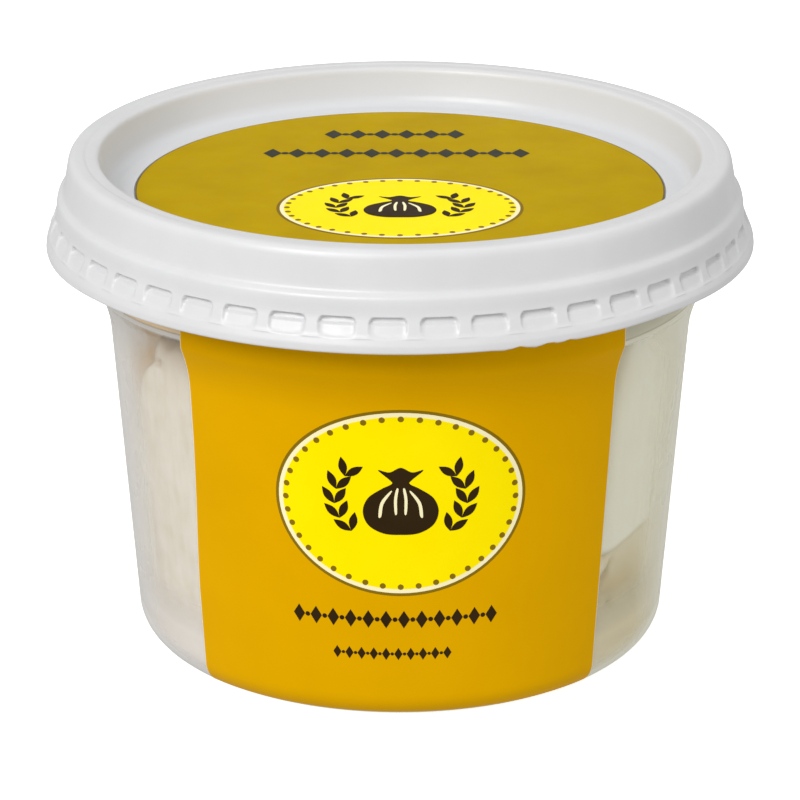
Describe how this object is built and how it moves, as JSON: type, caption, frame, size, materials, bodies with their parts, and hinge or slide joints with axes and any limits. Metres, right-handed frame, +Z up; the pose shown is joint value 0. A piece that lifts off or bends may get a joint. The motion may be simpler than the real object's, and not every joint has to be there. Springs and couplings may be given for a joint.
{
  "type": "burrata in a clear lidded tub",
  "caption": "Shut round see-through tub with a press-on white lid and plain mustard labels, holding a knotted burrata in whey.",
  "frame": {"origin": "on the resting plane, under the middle of the tub's foot ring", "axes": "+Z up along the tub's axis; the front label faces -Y; +X to the viewer's right"},
  "size_m": [0.1, 0.1, 0.071],
  "materials": {
    "tub": "milky see-through moulded polypropylene",
    "lid": "soft gloss moulded polypropylene",
    "label": "printed in-mould film",
    "lid_label": "printed in-mould film",
    "cheese": "smooth wet curd skin",
    "whey": "cloudy liquid"
  },
  "bodies": {
    "root": {"tub": "tub", "lid": "lid", "front_label": "label", "back_label": "label", "lid_label": "lid_label", "burrata": "cheese", "whey": "whey"}
  },
  "joints": []
}
